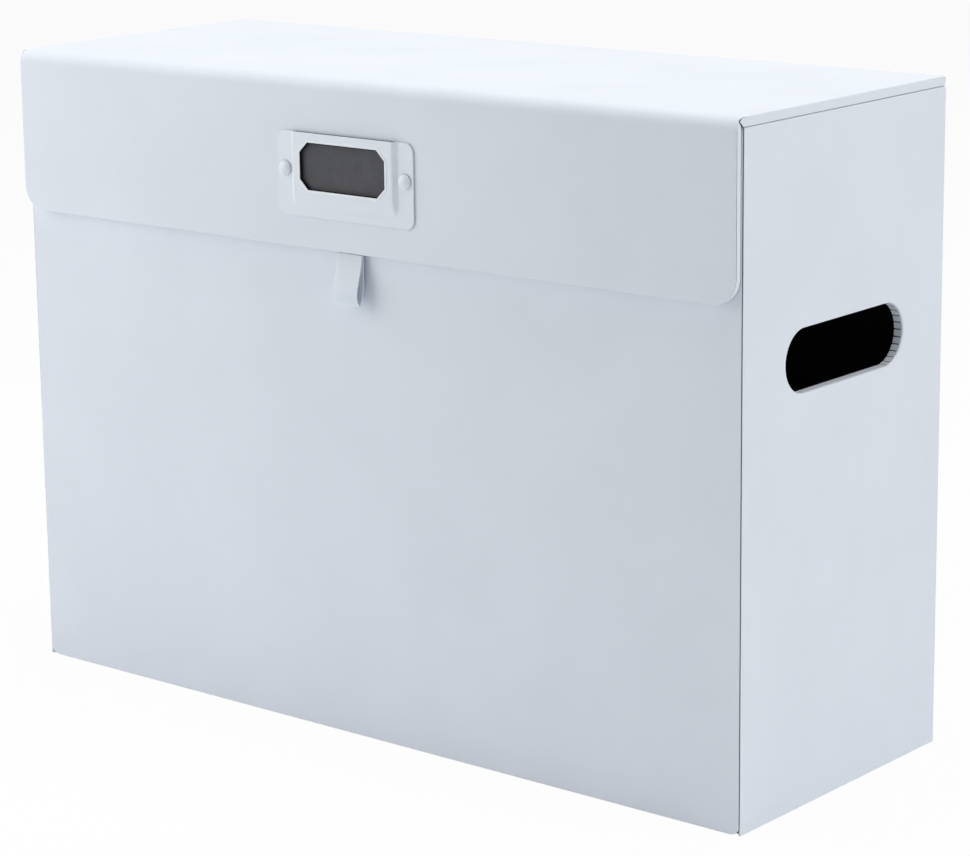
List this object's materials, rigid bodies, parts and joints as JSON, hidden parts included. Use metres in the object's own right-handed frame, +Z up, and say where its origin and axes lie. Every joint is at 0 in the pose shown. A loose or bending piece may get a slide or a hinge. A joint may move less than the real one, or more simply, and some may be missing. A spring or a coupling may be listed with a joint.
{
  "type": "portable file box",
  "caption": "Upright covered-board file box with a hinged lid, a drop flap over the front, a label holder, a pull loop, hand slots and rails for hanging folders.",
  "frame": {"origin": "middle of the case's underside, on the surface the box stands on; the flap and the label holder stand out in front of the case and don't move the origin", "axes": "+X to the right of the front, along the box's width; +Y from the front to the back; +Z up"},
  "size_m": [0.362, 0.1397, 0.263],
  "materials": {
    "greyboard": "matte",
    "white_cover": "satin",
    "black_lining": "matte",
    "rail_steel": "satin",
    "magnet_steel": "satin",
    "white_metal": "satin",
    "card_paper": "matte",
    "white_strap": "satin"
  },
  "bodies": {
    "case": {"base_board": "greyboard", "base_cover": "white_cover", "base_lining": "black_lining", "front_wall": "greyboard", "back_wall": "greyboard", "left_wall": "greyboard", "right_wall": "greyboard", "front_cover": "white_cover", "wrap_cover": "white_cover", "corner_tapes": "black_lining", "front_lining": "black_lining", "back_lining": "black_lining", "left_lining": "black_lining", "right_lining": "black_lining", "left_rail": "rail_steel", "right_rail": "rail_steel", "rail_rivets": "rail_steel", "keeper_plates": "magnet_steel", "back_hinge_cloth": "white_cover"},
    "lid": {"lid_board": "greyboard", "lid_cover": "white_cover", "lid_lining": "black_lining", "front_hinge_cloth": "white_cover"},
    "flap": {"flap_board": "greyboard", "flap_cover": "white_cover", "flap_lining": "black_lining", "closure_magnets": "magnet_steel", "label_holder": "white_metal", "holder_rivets": "white_metal", "pull_tail": "white_strap"},
    "card": {"label_card": "card_paper"},
    "pull": {"pull_loop": "white_strap"}
  },
  "joints": [
    {"name": "lid_hinge", "type": "hinge", "parent": "case", "child": "lid", "pos_m": [0, 0.0665, 0.25925], "axis": [-1, 0, 0], "range_deg": [0, 180], "deforming": ["back_hinge_cloth"]},
    {"name": "flap_hinge", "type": "hinge", "parent": "lid", "child": "flap", "pos_m": [0, -0.06933, 0.26183], "axis": [-1, 0, 0], "range_deg": [0, 170], "deforming": ["front_hinge_cloth"]},
    {"name": "card_slide", "type": "slide", "parent": "flap", "child": "card", "axis": [0, 0, 1], "range_m": [0, 0.016]},
    {"name": "loop_swing", "type": "hinge", "parent": "flap", "child": "pull", "pos_m": [0, -0.0687, 0.1953], "axis": [-1, 0, 0], "range_deg": [0, 60]}
  ]
}
